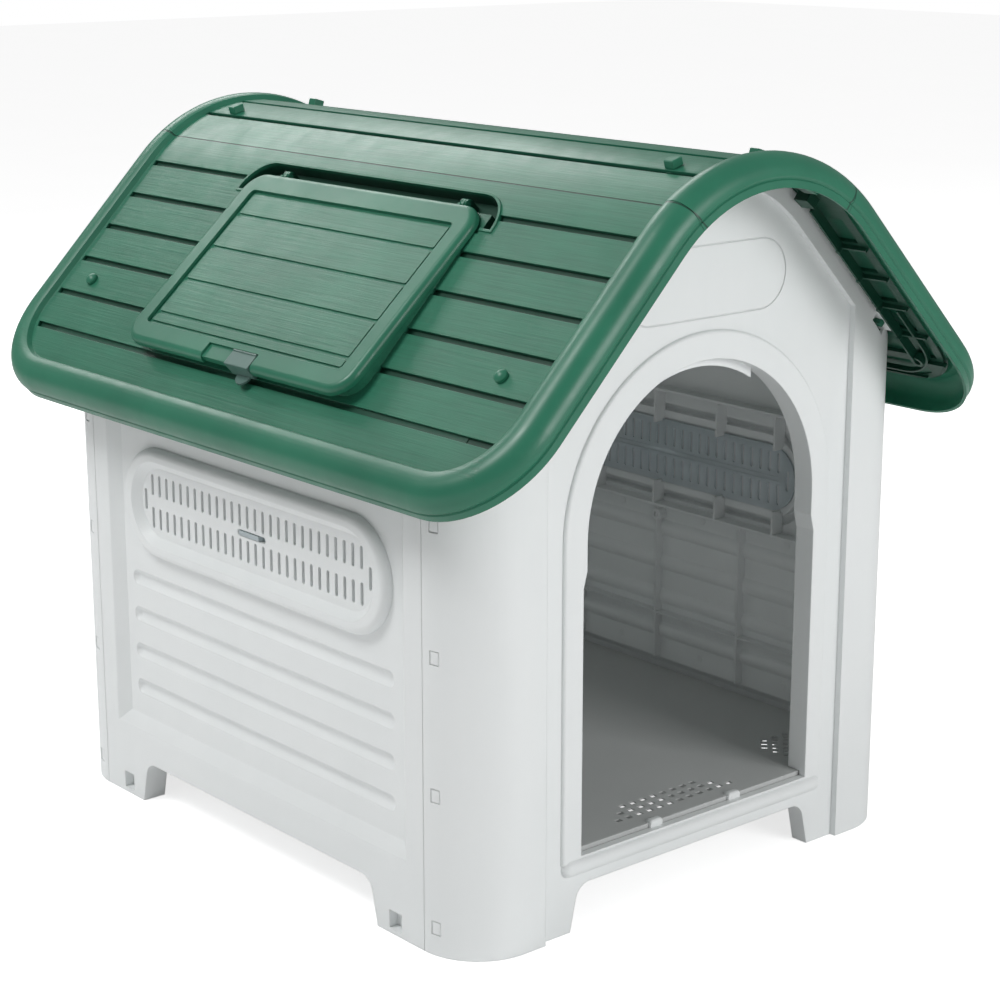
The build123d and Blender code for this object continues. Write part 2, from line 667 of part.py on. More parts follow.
def gable_shell():
    """Gable wall without its middle features, at the -Y end."""
    tall = ridge_axis_z + arch_radius + 20
    seam = -seam_y - seam_gap
    outer = plan_shell(half_width, half_length, corner_radius, seam + 10, tall)
    inner = plan_shell(half_width - skin, half_length - skin, corner_radius - skin, seam + 11, tall)
    shell = outer - inner - block(-400, 400, seam, 0, -1, tall + 1)
    band_radius = arch_radius - gable_band
    sunk = block(-column_inner, column_inner, -half_length - 1, -half_length + gable_step, -1, tall)
    sunk = sunk & under_roof(band_radius)
    backing = block(-column_inner - skin, column_inner + skin, -half_length + skin - 1,
                    -half_length + gable_step + skin, 0, tall)
    backing = backing & under_roof(band_radius + skin)
    shell = shell + backing - sunk
    shell = shell & under_roof(arch_radius - roof_gap)

    # base flange that closes the feet inwards and carries the floor tray
    gap_low = -half_length - 5
    gap_high = -half_length + 60
    flange_y = -half_length + foot_depth
    flange = block(-gable_foot_inner - foot_draft - skin, gable_foot_inner + foot_draft + skin,
                   -half_length + gable_step, flange_y, 0, arch_leg_height + skin)
    flange = flange & foot_gap(gable_foot_inner, gap_low, flange_y, grow=skin)
    shell += flange
    shell -= foot_gap(gable_foot_inner, gap_low, gap_high)
    return shell


def door_outline(half, jamb, bottom, y_low, y_high):
    """Round-topped doorway shape that widens a little down the jambs, from y_low to y_high."""
    top = Pos(0, (y_low + y_high) / 2, door_spring) * Rot(90, 0, 0) * Cylinder(half, y_high - y_low)
    top = top & block(-half, half, y_low, y_high, door_spring, door_spring + half)
    upper = block(-half, half, y_low, y_high, jamb_top, door_spring)
    widening = Pos(0, y_high, 0) * prism(
        [(-half, jamb_top), (-jamb, jamb_low), (jamb, jamb_low), (half, jamb_top)],
        Plane.XZ, y_high - y_low)
    lower = block(-jamb, jamb, y_low, y_high, bottom, jamb_low)
    return top + upper + widening + lower


def front_wall():
    wall = gable_shell()
    face_y = -half_length + gable_step
    back_y = face_y + skin
    lining_y = back_y + door_return
    border_half = door_half_width + door_band
    band = door_outline(border_half, border_half, door_sill - 6, face_y - door_band_rise, face_y + 1)
    band = fillet(band.edges().group_by(Axis.Y)[0], 3.0)
    wall += band
    lining = door_outline(door_half_width + 3, jamb_half_width + 3, door_sill - 3, back_y - 1, lining_y)
    tray_reach = half_width - skin - tray_side_gap + 1.5
    tray_front = -half_length + gable_step + skin
    lining -= block(-tray_reach, tray_reach, tray_front, 0, 0, tray_top + 0.6)
    wall += lining
    wall -= door_outline(door_half_width, jamb_half_width, door_sill, face_y - 20, lining_y + 20)

    # short lip hanging inside the top of the doorway
    lip = block(-75, 75, back_y + 6, back_y + 9, door_spring, door_spring + door_half_width + 2)
    ring = Pos(0, back_y + 7.5, door_spring) * Rot(90, 0, 0) * (
        Cylinder(door_half_width + 1.5, 3) - Cylinder(door_half_width - 9, 4))
    wall += lip & ring

    # half-round bead under the doorway
    bead_half = jamb_half_width + 14.0
    bead = Pos(0, face_y, door_sill - 10.5) * Rot(0, 90, 0) * Cylinder(9.0, 2 * bead_half)
    for side in (-1, 1):
        bead += Pos(side * bead_half, face_y, door_sill - 10.5) * Sphere(9.0)
    wall += bead & block(-300, 300, face_y - 20, back_y, 0, 200)

    # shallow obround line above the doorway
    centre_z = 627.0
    flat = 75.0
    outer_r = 35.8
    line = SlotCenterToCenter(2 * flat, 2 * outer_r) - SlotCenterToCenter(2 * flat, 2 * outer_r - 2.2)
    engrave = extrude(Plane.XZ * line, amount=1.0, both=True)
    wall -= Pos(0, face_y, centre_z) * engrave

    wall = gable_lock_seats(wall)
    return snap_windows(wall, snap_heights)


def back_wall():
    """Closed gable, built at the -Y end and turned round."""
    wall = gable_shell()
    face_y = -half_length + gable_step
    panel_half = 176.0
    low, high = 96.0, 500.0
    sink = 6.0
    pan = Pos(0, skin + sink, 0) * prism(
        [(-panel_half - 3, low - 3), (panel_half + 3, low - 3), (panel_half + 3, high + 3),
         (-panel_half - 3, high + 3)], Plane.XZ.offset(-face_y), skin + sink)
    cut = Pos(0, sink, 0) * prism(
        [(-panel_half, low), (panel_half, low), (panel_half, high), (-panel_half, high)],
        Plane.XZ.offset(-face_y), sink + 5)
    wall = wall + pan - cut
    reach = panel_half - 24.0
    for index in range(7):
        height = low + 38.0 + index * 54.0
        wall += wall_groove_rod(face_y + sink, height, reach, skin - 0.8) & block(
            -300, 300, face_y + sink, face_y + 60, 0, 900)
        wall -= wall_groove_rod(face_y + sink, height, reach, 0)
    wall = gable_lock_seats(wall)
    wall = snap_windows(wall, snap_heights)
    return Rot(0, 0, 180) * wall


def wall_groove_rod(face_y, height, reach, grow):
    """Round-ended rod that presses a horizontal groove into a wall facing -Y."""
    axis_y = face_y - wall_groove_radius + wall_groove_depth
    radius = wall_groove_radius + grow
    rod = Pos(0, axis_y, height) * Rot(0, 90, 0) * Cylinder(radius, 2 * reach)
    for side in (-1, 1):
        rod += Pos(side * reach, axis_y, height) * Sphere(radius)
    return rod


def frustum(half_x, low_z, high_z, bevel, y_wide, y_narrow):
    """Bevel-sided slab for a sunk panel: wide at y_wide, narrow at y_narrow (facing -Y)."""
    wide = Plane.XZ.offset(-y_wide) * Pos(0, (low_z + high_z) / 2) * Rectangle(
        2 * half_x, high_z - low_z)
    narrow = Plane.XZ.offset(-y_narrow) * Pos(0, (low_z + high_z) / 2) * Rectangle(
        2 * (half_x - bevel), high_z - low_z - 2 * bevel)
    return loft([wide.face(), narrow.face()])


def obround(half_length_, half_height, y_low, y_high, centre_z):
    shape = SlotOverall(2 * half_length_, 2 * half_height)
    return Pos(0, y_high, centre_z) * extrude(Plane.XZ * shape, amount=y_high - y_low)


def slot_bars(y_low, y_high, shift, count, width):
    """The two rows of upright slots of the vent, as cutting bars."""
    bars = []
    for index in range(count):
        x = (index - (count - 1) / 2) * slot_pitch + shift
        for row in (-1, 1):
            bar = SlotOverall(slot_height, width, rotation=90)
            z = vent_centre + row * slot_row_offset
            bars.append(Pos(x, y_high, z) * extrude(Plane.XZ * bar, amount=y_high - y_low))
    for side in (-1, 1):
        x = side * (slot_row_length / 2 + slot_pitch) + shift
        bar = SlotOverall(slot_height, width, rotation=90)
        bars.append(Pos(x, y_high, vent_centre) * extrude(Plane.XZ * bar, amount=y_high - y_low))
    return bars


def side_wall():
    """Left side wall, built facing -Y and turned to face -X."""
    face_y = -half_width
    recess_y = face_y + recess_depth
    half = seam_y
    sheet = block(-half, half, face_y, face_y + skin, 0, 700)
    pan = frustum(recess_half_length + 3, recess_bottom - 3, recess_top + 3, recess_bevel,
                  face_y, recess_y + skin)
    cut = frustum(recess_half_length, recess_bottom, recess_top, recess_bevel, face_y, recess_y)
    cut += block(-recess_half_length, recess_half_length, face_y - 1, face_y + 0.01,
                 recess_bottom, recess_top)
    wall = sheet + pan - cut

    # thin ribs inside, under the vent
    rib_face = recess_y + skin
    for offset in (-lower_rib_offset, 0.0, lower_rib_offset):
        wall += block(offset - rib_thickness / 2, offset + rib_thickness / 2, rib_face - 1,
                      rib_face + lower_rib_depth, recess_bottom + recess_bevel, vent_shelf_low + 1)
    wall += block(-recess_half_length + 30, recess_half_length - 30, rib_face - 1,
                  rib_face + lower_rib_depth, lower_rib_height - 1.2, lower_rib_height + 1.2)

    # four round-ended grooves, hollow outside and bulging inside
    for index in range(wall_groove_count):
        height = wall_groove_first + index * wall_groove_pitch
        bulge = wall_groove_rod(recess_y, height, wall_groove_half_length, skin - 0.8)
        wall += bulge & block(-400, 400, recess_y, recess_y + 60, 0, 700)
        wall -= wall_groove_rod(recess_y, height, wall_groove_half_length, 0)

    # vent: raised ring that slopes in to a slotted grille
    ring = obround(vent_half_length, vent_half_height, face_y, recess_y + 1, vent_centre)
    ring = fillet(ring.edges().group_by(Axis.Y)[0], vent_round)
    hollow_length = grille_half_length + vent_slope + 0.5
    hollow_height = grille_half_height + vent_slope + 0.5
    ring_back = obround(vent_half_length - 4, vent_half_height - 4, face_y + skin, rib_face + 1, vent_centre)
    ring_back -= obround(hollow_length, hollow_height, face_y, rib_face + 2, vent_centre)
    plate_y = face_y + vent_plate_inset
    wall += ring
    wall -= ring_back
    mouth = Plane.XZ.offset(-face_y) * Pos(0, vent_centre) * SlotOverall(
        2 * (grille_half_length + vent_slope), 2 * (grille_half_height + vent_slope))
    throat = Plane.XZ.offset(-plate_y) * Pos(0, vent_centre) * SlotOverall(
        2 * grille_half_length, 2 * grille_half_height)
    wall -= loft([mouth.face(), throat.face()])
    wall -= obround(grille_half_length, grille_half_height, plate_y + grille_thickness, rib_face + 3,
                    vent_centre)
    cutters = slot_bars(face_y - 1, rib_face + 5, 0, slot_count, slot_width)
    wall = wall.cut(*cutters)
    tab_slot = SlotOverall(2 * tab_slot_half_length, tab_slot_height)
    wall -= Pos(0, rib_face + 5, vent_centre) * extrude(Plane.XZ * tab_slot, amount=20)

    # inner shelves along the vent, joined by upright ribs with small hooks that hold the shutter
    reach = recess_half_length - 20.0
    for height in (vent_shelf_low, vent_shelf_high):
        wall += block(-reach, reach, rib_face - 1, rib_face + rib_depth, height - 1.5, height + 1.5)
    keeper = rib_face + shutter_thickness + 2 * shutter_clearance
    slide_half = shutter_half_height + 0.7
    hook = 3.0
    for offset in vent_rib_offsets:
        rib = block(offset - rib_thickness / 2, offset + rib_thickness / 2, rib_face - 1,
                    rib_face + rib_depth, vent_shelf_low, vent_shelf_high)
        rib -= block(offset - 5, offset + 5, rib_face - 20, keeper, vent_centre - slide_half,
                     vent_centre + slide_half)
        rib -= block(offset - 5, offset + 5, rib_face - 20, rib_face + rib_depth + 5,
                     vent_centre - slide_half + hook, vent_centre + slide_half - hook)
        wall += rib
    boss = Pos(0, rib_face + 5, vent_shelf_low - 14) * Rot(90, 0, 0) * Cylinder(7, 12)
    wall += boss - Pos(0, rib_face + 5, vent_shelf_low - 14) * Rot(90, 0, 0) * Cylinder(3.5, 14)

    # base flange and feet
    flange_y = face_y + foot_depth
    span = side_foot_inner + foot_draft + skin
    flange = block(-span, span, face_y + 1, flange_y, 0, arch_leg_height + skin)
    wall += flange & foot_gap(side_foot_inner, face_y - 5, flange_y, grow=skin)
    wall -= foot_gap(side_foot_inner, face_y - 5, face_y + 60)
    window = foot_window / 2
    for side in (-1, 1):
        middle = side * foot_window_offset
        wall += block(middle - window - 2.5, middle + window + 2.5,
                      face_y + 1, face_y + foot_window_depth + 3,
                      foot_window_height - window - 2.5, foot_window_height + window + 2.5)
        wall -= block(middle - window, middle + window, face_y - 1, face_y + foot_window_depth,
                      foot_window_height - window, foot_window_height + window)

    # hooks that click into the windows of the gable columns
    column = Pos(half, face_y + corner_radius, 350) * Cylinder(corner_radius - 0.5, 800)
    bump_y, bump_z = snap_bump
    tongue_y = face_y + 8.4
    for height in snap_heights:
        tongue = block(half - 12, half + snap_offset + 6.5, tongue_y, tongue_y + 2.7, height - 9, height + 9)
        tongue += block(half - 12, half - 2, face_y + 1, tongue_y + 2.7, height - 9, height + 9)
        bump = block(half + snap_offset - bump_y / 2, half + snap_offset + bump_y / 2, face_y - 1,
                     tongue_y + 0.5, height - bump_z / 2, height + bump_z / 2)
        tongue += bump & column
        wall += tongue
        wall += mirror_x(tongue)
    wall = Rot(0, 0, -90) * wall
    return wall & under_roof(arch_radius - roof_gap)


def vent_shutter():
    """Slotted slide behind the grille, built facing -Y like its wall."""
    recess_y = -half_width + recess_depth
    face_y = recess_y + skin + shutter_clearance
    back_y = face_y + shutter_thickness
    slide = obround(shutter_half_length, shutter_half_height, face_y, back_y, vent_centre)
    slide = slide.cut(*slot_bars(face_y - 5, face_y + 20, 0, slot_count, slot_width))
    line_half = slot_row_length / 2
    for side in (-1, 1):
        height = vent_centre + side * 2.6
        slide -= block(-line_half, line_half, back_y - 0.5, back_y + 1, height - 0.5, height + 0.5)
    tab_half = tab_slot_half_length - shutter_travel / 2 - 4.0
    tab = block(-tab_half - shutter_travel / 2, tab_half - shutter_travel / 2,
                -half_width + vent_plate_inset - 1.0, face_y + 0.5, vent_centre - 2.4, vent_centre + 2.4)
    return Rot(0, 0, -90) * (slide + tab)


# ---------------------------------------------------------------- floor tray
def drain_row(count, pitch, y):
    """One row of square drain holes, centred on x = 0."""
    row = []
    for index in range(count):
        x = (index - (count - 1) / 2) * pitch
        row.append(Pos(x, y, tray_top) * Box(drain_size, drain_size * 0.8, 4 * tray_skin))
    return row


def floor_tray():
    half_x = half_width - skin - tray_side_gap
    half_y = half_length - gable_step - skin - tray_clearance
    tray = rounded_block(-half_x, half_x, -half_y, half_y, tray_top - tray_rim, tray_top, tray_corner)
    tray -= rounded_block(-half_x + tray_skin, half_x - tray_skin, -half_y + tray_skin,
                          half_y - tray_skin, tray_top - tray_rim - 1, tray_top - tray_skin,
                          tray_corner - tray_skin)
    pocket_low, pocket_high = tray_top - tray_skin - 1, tray_top - drain_skin
    for end in (-1, 1):
        row = half_y - door_drain_inset
        near, far = sorted((end * (row + 6.5), end * (row - 31.5)))
        tray -= block(-86, 86, near, far, pocket_low, pocket_high)
        for sx in (-1, 1):
            corner = Pos(sx * (half_x - corner_drain_inset), end * (half_y - corner_drain_end), 0)
            low, high = sorted((0.0, end * 37.0))
            tray -= corner * Rot(0, 0, 45 * -sx * end) * block(-38, 38, low, high, pocket_low, pocket_high)
    rib_low = arch_leg_height + skin + 0.4
    for x in (-180.0, -60.0, 60.0, 180.0):
        tray += block(x - 1.5, x + 1.5, -half_y + 2, half_y - 2, rib_low, tray_top - 1)
    for y in (-200.0, 0.0, 200.0):
        tray += block(-half_x + 2, half_x - 2, y - 1.5, y + 1.5, rib_low, tray_top - 1)
    door_side = -half_y + door_drain_inset
    cutters = []
    for step, count in enumerate((12, 10, 8)):
        cutters += drain_row(count, drain_pitch, door_side + step * 12.5)
        cutters += drain_row(count, drain_pitch, -door_side - step * 12.5)
    for sx in (-1, 1):
        for sy in (-1, 1):
            for step, count in enumerate((3, 5, 7)):
                turn = Pos(sx * (half_x - corner_drain_inset), sy * (half_y - corner_drain_end), 0)
                turn = turn * Rot(0, 0, 45 * -sx * sy)
                for index in range(count):
                    x = (index - (count - 1) / 2) * corner_drain_pitch
                    hole = Pos(x, sy * (step + 0.5) * 12.0, tray_top) * Box(
                        5.5, 6.5, 4 * tray_skin)
                    cutters.append(turn * hole)
    return tray.cut(*cutters)


# ---------------------------------------------------------------- write the parts
green = "seagreen"
white = "whitesmoke"
grey = "gray"

left_wall = side_wall()
save("left_wall", left_wall, white)
save("right_wall", Rot(0, 0, 180) * left_wall, white)
save("front_wall", front_wall(), white)
save("back_wall", back_wall(), white)
save("floor_tray", floor_tray(), grey)

left_shutter = vent_shutter()
save("left_vent_shutter", left_shutter, "lightsteelblue")
save("right_vent_shutter", Rot(0, 0, 180) * left_shutter, "lightsteelblue")

save("left_roof_panel", roof_slope_panel(True), green)
save("right_roof_panel", mirror_x(roof_slope_panel(False)), green)
save("ridge_cap", ridge_cap(), green)
save("roof_hatch", hatch_lid(), green)
save("hatch_latch", hatch_latch(), "darkslategray")
save("hatch_hinge_pin_front", hinge_pin(1), "dimgray")
save("hatch_hinge_pin_rear", hinge_pin(-1), "dimgray")

for side, side_name in ((1, "left"), (-1, "right")):
    for end, end_name in ((-1, "front"), (1, "rear")):
        place = radial_frame(side * lock_angle) * Pos(0, end * lock_offset, 0)
        save(f"ridge_lock_{side_name}_{end_name}", place * turn_lock(ridge_head()), green)
        knob = slope_plane.location * Pos(eave_lock_t, -end * eave_lock_offset, 0) * turn_lock(eave_head())
        if side < 0:
            knob = mirror_x(knob)
        save(f"eave_lock_{side_name}_{end_name}", knob, green)
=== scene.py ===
# %% [markdown]
# # A moulded plastic animal house, dressed for its portrait
# The solid mouldings come in from the imported model and stay exactly where they are. This lesson adds
# what the moulding shop and the daylight studio add: grained green roof plastic, satin white walls,
# soft grey tray, milky vent slides, the small marks that ejector pins leave, and the light
# they are seen in.

# %% Load the mouldings
from math import cos, pi, radians, sin

import bmesh
import bpy
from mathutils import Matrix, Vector


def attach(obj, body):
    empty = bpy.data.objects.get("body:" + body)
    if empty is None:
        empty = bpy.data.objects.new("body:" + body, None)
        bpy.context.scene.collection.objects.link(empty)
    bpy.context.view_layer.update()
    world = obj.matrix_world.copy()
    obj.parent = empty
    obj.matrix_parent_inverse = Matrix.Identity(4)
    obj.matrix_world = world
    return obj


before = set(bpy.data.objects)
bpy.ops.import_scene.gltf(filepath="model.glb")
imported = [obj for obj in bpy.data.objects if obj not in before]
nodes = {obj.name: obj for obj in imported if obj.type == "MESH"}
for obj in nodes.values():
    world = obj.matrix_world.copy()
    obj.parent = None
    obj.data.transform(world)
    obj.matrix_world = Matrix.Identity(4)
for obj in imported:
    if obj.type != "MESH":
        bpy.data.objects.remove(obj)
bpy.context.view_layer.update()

# %% [markdown]
# ## Where the viewer stands
# A long lens from a little above shows the doorway gable, the vented side and the hatch slope together
# with very little perspective. A short lens would make the near corner bulge, so the camera stands back
# two and a half metres.

# %% Camera
camera_data = bpy.data.cameras.new("portrait_lens")
camera_data.lens = 83.65
camera_data.sensor_width = 36.0
camera_data.clip_end = 60.0
camera = bpy.data.objects.new("portrait_camera", camera_data)
camera.location = Vector((-1.58567, -1.90163, 0.99133))
look_at = Vector((0.00025, -0.04362, 0.34877))
camera.rotation_mode = "QUATERNION"
camera.rotation_quaternion = (look_at - camera.location).to_track_quat("-Z", "Y")
bpy.context.scene.collection.objects.link(camera)
bpy.context.scene.camera = camera
print("camera distance", round((look_at - camera.location).length, 3))

# %% [markdown]
# ## Small shader workshop
# Every finish here is built from the same few blocks: a position, a noise, a ramp and a bump. Wrapping
# each in a short helper keeps the recipes readable. Position is taken from the object itself, so the
# pattern is locked to the moulding and turns with it.


# %% Shader helpers
def new_finish(name):
    """An empty node material with its Principled shader."""
    finish = bpy.data.materials.new(name)
    finish.use_nodes = True
    return finish, finish.node_tree, finish.node_tree.nodes["Principled BSDF"]


def add_node(tree, kind, **settings):
    node = tree.nodes.new(kind)
    for key, value in settings.items():
        setattr(node, key, value)
    return node


def place(tree, stretch=(1.0, 1.0, 1.0)):
    """Object position, stretched if asked, ready to drive a pattern."""
    source = add_node(tree, "ShaderNodeTexCoord")
    mapping = add_node(tree, "ShaderNodeMapping")
    mapping.inputs["Scale"].default_value = stretch
    tree.links.new(source.outputs["Object"], mapping.inputs["Vector"])
    return mapping.outputs["Vector"]


def noise(tree, where, scale, detail=3.0, rough=0.5):
    cloud = add_node(tree, "ShaderNodeTexNoise")
    cloud.inputs["Scale"].default_value = scale
    cloud.inputs["Detail"].default_value = detail
    cloud.inputs["Roughness"].default_value = rough
    tree.links.new(where, cloud.inputs["Vector"])
    return cloud.outputs["Fac"]


def ramp(tree, value, stops):
    """A colour ramp from (position, colour) pairs."""
    band = add_node(tree, "ShaderNodeValToRGB")
    while len(band.color_ramp.elements) < len(stops):
        band.color_ramp.elements.new(0.5)
    for element, (position, colour) in zip(band.color_ramp.elements, stops):
        element.position = position
        element.color = (*colour, 1.0) if len(colour) == 3 else colour
    tree.links.new(value, band.inputs["Fac"])
    return band.outputs["Color"]


def calc(tree, operation, first, second=None, third=None, clamp=False):
    step = add_node(tree, "ShaderNodeMath", operation=operation, use_clamp=clamp)
    for socket, value in zip(step.inputs, (first, second, third)):
        if value is None:
            continue
        if isinstance(value, (int, float)):
            socket.default_value = value
        else:
            tree.links.new(value, socket)
    return step.outputs["Value"]


def blend_colours(tree, amount, first, second, mode="MIX"):
    mix = add_node(tree, "ShaderNodeMix", data_type="RGBA", blend_type=mode)
    for socket, value in ((mix.inputs["Factor"], amount), (mix.inputs[6], first), (mix.inputs[7], second)):
        if isinstance(value, (int, float)):
            socket.default_value = value
        elif isinstance(value, tuple):
            socket.default_value = (*value, 1.0)
        else:
            tree.links.new(value, socket)
    return mix.outputs[2]


def bump(tree, height, strength, distance, under=None):
    relief = add_node(tree, "ShaderNodeBump")
    relief.inputs["Strength"].default_value = strength
    relief.inputs["Distance"].default_value = distance
    tree.links.new(height, relief.inputs["Height"])
    if under is not None:
        tree.links.new(under, relief.inputs["Normal"])
    return relief.outputs["Normal"]


def soft_edges(tree, radius):
    """Moulded corners are never knife-sharp: the shading normal is rounded over a small radius."""
    rounder = add_node(tree, "ShaderNodeBevel", samples=4)
    rounder.inputs["Radius"].default_value = radius
    return rounder.outputs["Normal"]


def position_parts(tree):
    source = add_node(tree, "ShaderNodeTexCoord")
    split = add_node(tree, "ShaderNodeSeparateXYZ")
    tree.links.new(source.outputs["Object"], split.inputs["Vector"])
    return split.outputs["X"], split.outputs["Y"], split.outputs["Z"]


# %% [markdown]
# ## How high above the roof sheet
# Shade is painted into the joints between planks, darker towards each joint floor. On the real roof a joint
# lies four millimetres
# below the plank faces. The height of a point over the sheet can be worked out from its position alone:
# along the straight slope it is the distance from a plane, and round the ridge it is the distance from
# the ridge axis. That is steadier than painting the joints by hand, and it follows every plank exactly.

# %% Roof heights
SLOPE = radians(45.5)
ARCH_RADIUS = 0.189
HALF_WIDTH = 0.305
WALL_HEIGHT = 0.513
PLANK_TOP = 0.007
CAP_HALF_ANGLE = radians(34.8)
TANGENT_X = ARCH_RADIUS * sin(SLOPE)
RIDGE_AXIS_Z = (sin(SLOPE) * HALF_WIDTH + cos(SLOPE) * WALL_HEIGHT - ARCH_RADIUS) / cos(SLOPE)
TANGENT_Z = RIDGE_AXIS_Z + ARCH_RADIUS * cos(SLOPE)
CAP_EDGE = (ARCH_RADIUS + PLANK_TOP) * sin(SLOPE - CAP_HALF_ANGLE)


def roof_heights(tree):
    """Height above the sheet and distance down the slope, as two shader values."""
    east, north, up = position_parts(tree)
    east = calc(tree, "ABSOLUTE", east)
    out = calc(tree, "SUBTRACT", east, TANGENT_X)
    rise = calc(tree, "SUBTRACT", up, TANGENT_Z)
    down = calc(tree, "SUBTRACT", calc(tree, "MULTIPLY", out, cos(SLOPE)),
                calc(tree, "MULTIPLY", rise, sin(SLOPE)))
    plane = calc(tree, "ADD", calc(tree, "MULTIPLY", out, sin(SLOPE)),
                 calc(tree, "MULTIPLY", rise, cos(SLOPE)))
    over_axis = calc(tree, "SUBTRACT", up, RIDGE_AXIS_Z)
    squares = calc(tree, "ADD", calc(tree, "MULTIPLY", east, east),
                   calc(tree, "MULTIPLY", over_axis, over_axis))
    round_height = calc(tree, "SUBTRACT", calc(tree, "SQRT", squares), ARCH_RADIUS)
    on_slope = calc(tree, "GREATER_THAN", down, 0.0)
    height = calc(tree, "ADD", calc(tree, "MULTIPLY", plane, on_slope),
                  calc(tree, "MULTIPLY", round_height, calc(tree, "SUBTRACT", 1.0, on_slope)))
    return height, down, north


print("ridge axis height", round(RIDGE_AXIS_Z, 4))

# %% [markdown]
# ## Roof green
# The roof is deep green polypropylene. The plank faces carry a moulded wood grain that runs along the
# ridge, and the bull-nosed rim and the border of the hatch are left with the fine sand-blast of the
# tool. A scanned texture could do this, but two stretched noises give grain at any distance and follow
# every plank without unwrapping. Shade is painted in as well: the planks darken towards the floor of each
# joint, and a thin line of painted shade marks where the ridge cap meets a slope.


# %% Roof green finish
ROOF_LIT = (0.026, 0.190, 0.112)
ROOF_DEEP = (0.018, 0.150, 0.088)
ROOF_WORN = (0.070, 0.290, 0.190)
# Painted shade colour: a near-black green laid into the plank joint floors and along the cap-to-slope line.
ROOF_JOINT_SHADE = (0.006, 0.040, 0.024)
# Half width of the painted shade line where the ridge cap meets a slope.
CAP_SHADE_LINE_HALF = 0.0009


def roof_finish(name, field=None, joint=None):
    """Green plastic; field gives the grained planks (half length, upper, lower), joint the two heights of
    the painted joint shade.
    """
    finish, tree, shader = new_finish(name)
    along = place(tree, stretch=(1.0, 0.030, 1.0))
    streaks = noise(tree, along, 360.0, detail=5.0, rough=0.62)
    fibres = noise(tree, along, 1200.0, detail=2.0, rough=0.5)
    sand = noise(tree, place(tree), 1500.0, detail=2.0, rough=0.6)
    cloudy = noise(tree, place(tree), 9.0, detail=4.0, rough=0.55)
    tone = ramp(tree, cloudy, [(0.30, ROOF_DEEP), (0.72, ROOF_LIT)])
    normal = soft_edges(tree, 0.0006)
    if field:
        half, upper, lower = field
        height, down, north = roof_heights(tree)
        inside = calc(tree, "LESS_THAN", calc(tree, "ABSOLUTE", north), half)
        inside = calc(tree, "MULTIPLY", inside, calc(tree, "LESS_THAN", down, lower))
        inside = calc(tree, "MULTIPLY", inside, calc(tree, "GREATER_THAN", down, upper))
        tint = ramp(tree, streaks, [(0.36, (0.88, 0.89, 0.88)), (0.60, (1.03, 1.03, 1.03))])
        tone = blend_colours(tree, inside, tone, blend_colours(tree, 1.0, tone, tint, mode="MULTIPLY"))
        normal = bump(tree, calc(tree, "MULTIPLY", streaks, inside), 0.42, 0.0006, under=normal)
        normal = bump(tree, calc(tree, "MULTIPLY", fibres, inside), 0.20, 0.0002, under=normal)
    normal = bump(tree, sand, 0.14, 0.00012, under=normal)
    rubbed = noise(tree, place(tree), 34.0, detail=6.0, rough=0.7)
    worn = ramp(tree, rubbed, [(0.62, (0.0, 0.0, 0.0)), (0.78, (0.30, 0.30, 0.30))])
    colour = blend_colours(tree, calc(tree, "MULTIPLY", worn, 0.35), tone, ROOF_WORN)
    if joint:
        # Painted shade: plank faces darken towards each joint floor, as if shadow lay in the joints.
        dark, clear = joint
        depth = calc(tree, "DIVIDE", calc(tree, "SUBTRACT", clear, height), clear - dark, clamp=True)
        depth = calc(tree, "MULTIPLY", calc(tree, "MULTIPLY", depth, inside), 0.85)
        colour = blend_colours(tree, depth, colour, ROOF_JOINT_SHADE)
        # Painted shade: a thin dark line along the gap where the ridge cap meets a slope.
        from_edge = calc(tree, "ABSOLUTE", calc(tree, "ADD", down, CAP_EDGE))
        cap_shade_line = calc(tree, "LESS_THAN", from_edge, CAP_SHADE_LINE_HALF)
        colour = blend_colours(tree, calc(tree, "MULTIPLY", cap_shade_line, 0.85), colour, ROOF_JOINT_SHADE)
    tree.links.new(colour, shader.inputs["Base Color"])
    gloss = ramp(tree, rubbed, [(0.3, (0.31, 0.31, 0.31)), (0.7, (0.42, 0.42, 0.42))])
    tree.links.new(gloss, shader.inputs["Roughness"])
    tree.links.new(normal, shader.inputs["Normal"])
    shader.inputs["Specular IOR Level"].default_value = 0.5
    return finish


# joint sets the heights over which painted shade deepens towards the joint floor.
roof_green = roof_finish("roof_green_grained", field=(0.4045, -1.0, 0.2790), joint=(0.0032, 0.0060))
lid_green = roof_finish("lid_green_grained", field=(0.1705, 0.0270, 0.2160))
peg_green = roof_finish("peg_green_smooth")
print("roof finishes made")

# %% [markdown]
# ## Wall white
# The walls are cool white polypropylene, satin rather than shiny, with the faint unevenness that thick
# mouldings show where ribs stand behind them. A little light travels inside the plastic, so subsurface
# scattering is on, at a depth of a few millimetres.


